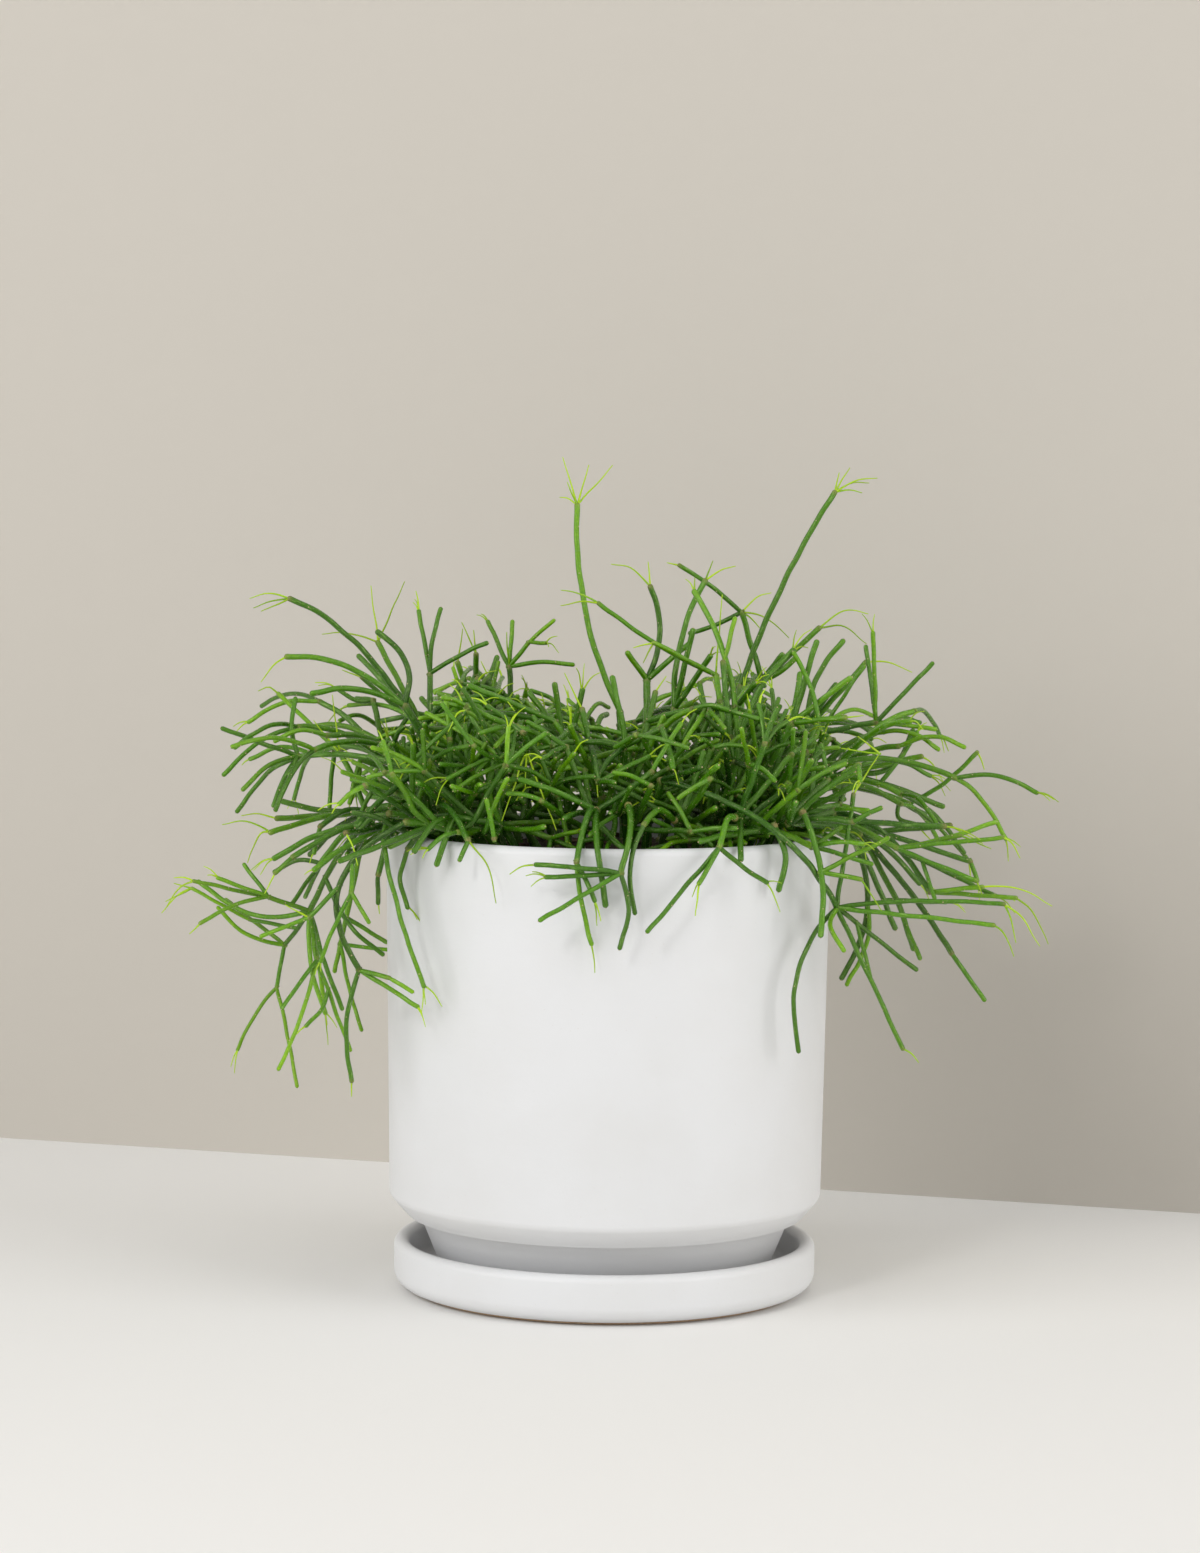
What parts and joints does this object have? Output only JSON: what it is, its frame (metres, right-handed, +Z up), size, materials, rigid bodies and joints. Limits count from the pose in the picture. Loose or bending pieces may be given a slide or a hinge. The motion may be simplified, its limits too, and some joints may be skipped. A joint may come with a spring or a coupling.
{
  "type": "potted mistletoe cactus",
  "caption": "Mistletoe cactus with thin forking green stems that arch and hang over the rim of a white ceramic planter on a saucer.",
  "frame": {"origin": "centre of the saucer's flat underside", "axes": "+Z up the pot's axis, -Y towards the front, +X to the right as seen from the front"},
  "size_m": [0.3466, 0.2697, 0.3331],
  "materials": {
    "pot_glaze": "matte white",
    "saucer_glaze": "matte white with an unglazed foot",
    "soil": "loose potting soil",
    "stems": "waxy green"
  },
  "bodies": {
    "root": {"pot": "pot_glaze", "saucer": "saucer_glaze", "shoot_crown_bridge": "stems", "shoot_crown_candelabra": "stems", "shoot_crown_fork": "stems", "shoot_crown_front": "stems", "shoot_crown_left": "stems", "shoot_crown_left_back": "stems", "shoot_crown_low": "stems", "shoot_crown_pair": "stems", "shoot_crown_reach": "stems", "shoot_crown_stand": "stems", "shoot_crown_thick": "stems", "shoot_fill_01": "stems", "shoot_fill_02": "stems", "shoot_fill_03": "stems", "shoot_fill_04": "stems", "shoot_fill_05": "stems", "shoot_fill_06": "stems", "shoot_fill_07": "stems", "shoot_fill_08": "stems", "shoot_fill_09": "stems", "shoot_fill_10": "stems", "shoot_fill_11": "stems", "shoot_fill_12": "stems", "shoot_fill_13": "stems", "shoot_fill_14": "stems", "shoot_front_arc_left": "stems", "shoot_front_drape_left": "stems", "shoot_front_fork_a": "stems", "shoot_front_fork_b": "stems", "shoot_front_fork_c": "stems", "shoot_front_hook": "stems", "shoot_front_right_fall": "stems", "shoot_front_stub_right": "stems", "shoot_front_thread_left": "stems", "shoot_left_arch": "stems", "shoot_left_cross": "stems", "shoot_left_elbow": "stems", "shoot_left_fall": "stems", "shoot_left_fall_back": "stems", "shoot_left_fall_front": "stems", "shoot_left_fan": "stems", "shoot_left_low": "stems", "shoot_left_skirt": "stems", "shoot_left_whorl": "stems", "shoot_right_brush": "stems", "shoot_right_comb": "stems", "shoot_right_drop": "stems", "shoot_right_edge": "stems", "shoot_right_fork": "stems", "shoot_right_high": "stems", "shoot_right_long": "stems", "shoot_right_low": "stems", "shoot_right_mid": "stems", "shoot_right_reach": "stems", "shoot_right_spray": "stems", "shoot_tall_centre": "stems", "shoot_tall_right": "stems", "soil": "soil"}
  },
  "joints": []
}
